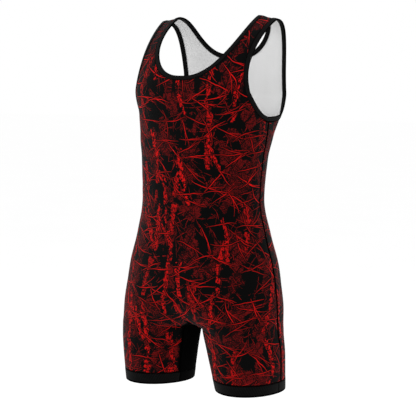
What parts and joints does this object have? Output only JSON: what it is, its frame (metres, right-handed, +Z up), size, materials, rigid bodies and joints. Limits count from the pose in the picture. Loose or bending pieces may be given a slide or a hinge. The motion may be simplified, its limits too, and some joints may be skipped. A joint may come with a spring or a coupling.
{
  "type": "wrestling singlet",
  "caption": "One-piece sleeveless sports suit of printed stretch cloth, filled out as worn, with a scooped neck, cut-in armholes, short legs, black bindings and black leg bands.",
  "frame": {"origin": "midway between the two strap tops, level with the inside of the straps at the middle of their width, where the wearer's shoulders carry the suit", "axes": "+Z up, the front faces -Y, the wearer's left is +X"},
  "size_m": [0.3784, 0.2442, 0.7845],
  "materials": {
    "printed_knit": "smooth matt stretch knit, printed outside, pale grey inside",
    "black_knit": "smooth matt stretch knit",
    "binding_tape": "flat folded knit tape, matt",
    "leg_band_rib": "fine rib, matt"
  },
  "bodies": {
    "root": {"front_panel": "printed_knit", "back_panel": "printed_knit", "inner_thigh_panel": "black_knit", "neck_binding": "binding_tape", "armhole_binding_left": "binding_tape", "armhole_binding_right": "binding_tape", "leg_band_left": "leg_band_rib", "leg_band_right": "leg_band_rib"}
  },
  "joints": []
}
